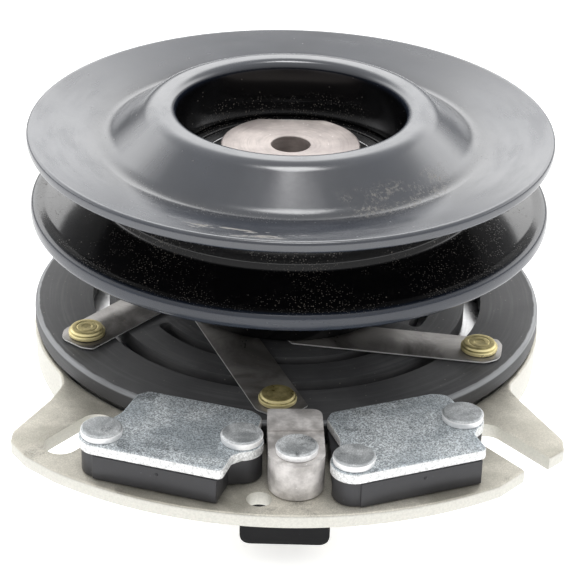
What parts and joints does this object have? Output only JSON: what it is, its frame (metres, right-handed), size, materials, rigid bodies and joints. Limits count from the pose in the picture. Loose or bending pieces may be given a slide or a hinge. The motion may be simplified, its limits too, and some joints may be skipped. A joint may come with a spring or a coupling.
{
  "type": "electromagnetic clutch",
  "caption": "Electromagnetic clutch and brake with a V-belt pulley, leaf-spring armature, keyed hub, field coil and front magnet brake on a slotted mounting plate.",
  "frame": {"origin": "on the shaft axis, in the plane of the field shell's flat underside, on the engine side", "axes": "+Z along the shaft axis towards the pulley and its bolt; the magnet brake faces -Y"},
  "size_m": [0.1559, 0.189, 0.0935],
  "materials": {
    "e_coat": "gloss black electro-coat, dusty and lightly scuffed",
    "hub_steel": "bare turned steel",
    "phosphate": "dark phosphate, satin",
    "rotor_steel": "machined face",
    "spring_steel": "rolled spring strip",
    "brass": "headed rivet, dull top and bright edge",
    "zinc": "zinc plated, mottled",
    "plate_zinc": "zinc plated pressing, warm silver",
    "cast_aluminium": "fine cast grain",
    "magnet_plastic": "moulded, satin",
    "connector_plastic": "moulded, satin",
    "magnet": "sintered ferrite",
    "copper": "enamelled wire",
    "nylon": "natural nylon",
    "epoxy": "cast resin",
    "bearing_steel": "ground steel",
    "seal_rubber": "moulded seal",
    "friction": "pressed friction lining"
  },
  "bodies": {
    "field": {"brake_magnet_left": "magnet", "brake_magnet_right": "magnet", "brake_pole_plate_left": "zinc", "brake_pole_plate_right": "zinc", "brake_post": "cast_aluminium", "brake_post_rivet": "zinc", "brake_rivet_left_inner": "zinc", "brake_rivet_left_outer": "zinc", "brake_rivet_right_inner": "zinc", "brake_rivet_right_outer": "zinc", "coil_bobbin": "nylon", "coil_potting": "epoxy", "coil_winding": "copper", "connector_blade_left": "brass", "connector_blade_right": "brass", "connector_housing": "connector_plastic", "field_bearing_outer_ring": "bearing_steel", "field_shell": "hub_steel", "magnet_housing_left": "magnet_plastic", "magnet_housing_right": "magnet_plastic", "mounting_plate": "plate_zinc"},
    "rotor": {"hub": "hub_steel", "spacer_sleeve": "hub_steel", "hub_snap_ring": "bearing_steel", "rotor_disc": "rotor_steel", "friction_ring": "friction", "field_bearing_inner_ring": "bearing_steel", "field_bearing_balls_and_cage": "bearing_steel", "field_bearing_lower_seal": "seal_rubber", "field_bearing_upper_seal": "seal_rubber", "pulley_bearing_inner_ring": "bearing_steel", "pulley_bearing_balls_and_cage": "bearing_steel", "pulley_bearing_lower_seal": "seal_rubber", "pulley_bearing_upper_seal": "seal_rubber"},
    "pulley": {"pulley_upper_half": "e_coat", "pulley_lower_half": "e_coat", "pulley_bearing_outer_ring": "bearing_steel", "leaf_spring_1": "spring_steel", "leaf_spring_2": "spring_steel", "leaf_spring_3": "spring_steel", "leaf_spring_4": "spring_steel", "leaf_spring_5": "spring_steel", "leaf_spring_6": "spring_steel", "pulley_rivet_1": "brass", "pulley_rivet_2": "brass", "pulley_rivet_3": "brass", "pulley_rivet_4": "brass", "pulley_rivet_5": "brass", "pulley_rivet_6": "brass"},
    "armature": {"armature_plate": "phosphate", "armature_rivet_1": "brass", "armature_rivet_2": "brass", "armature_rivet_3": "brass", "armature_rivet_4": "brass", "armature_rivet_5": "brass", "armature_rivet_6": "brass"}
  },
  "joints": [
    {"name": "rotor_spin", "type": "hinge", "parent": "field", "child": "rotor", "pos_m": [0, 0, 0.01], "axis": [0, 0, 1], "continuous": true},
    {"name": "pulley_spin", "type": "hinge", "parent": "rotor", "child": "pulley", "pos_m": [0, 0, 0.0677], "axis": [0, 0, 1], "continuous": true},
    {"name": "armature_travel", "type": "slide", "parent": "pulley", "child": "armature", "axis": [0, 0, -1], "range_m": [0, 0.0005], "stiffness_N_per_m": 20000, "springref_m": -0.001, "deforming": ["leaf_spring_1", "leaf_spring_2", "leaf_spring_3", "leaf_spring_4", "leaf_spring_5", "leaf_spring_6"]}
  ]
}
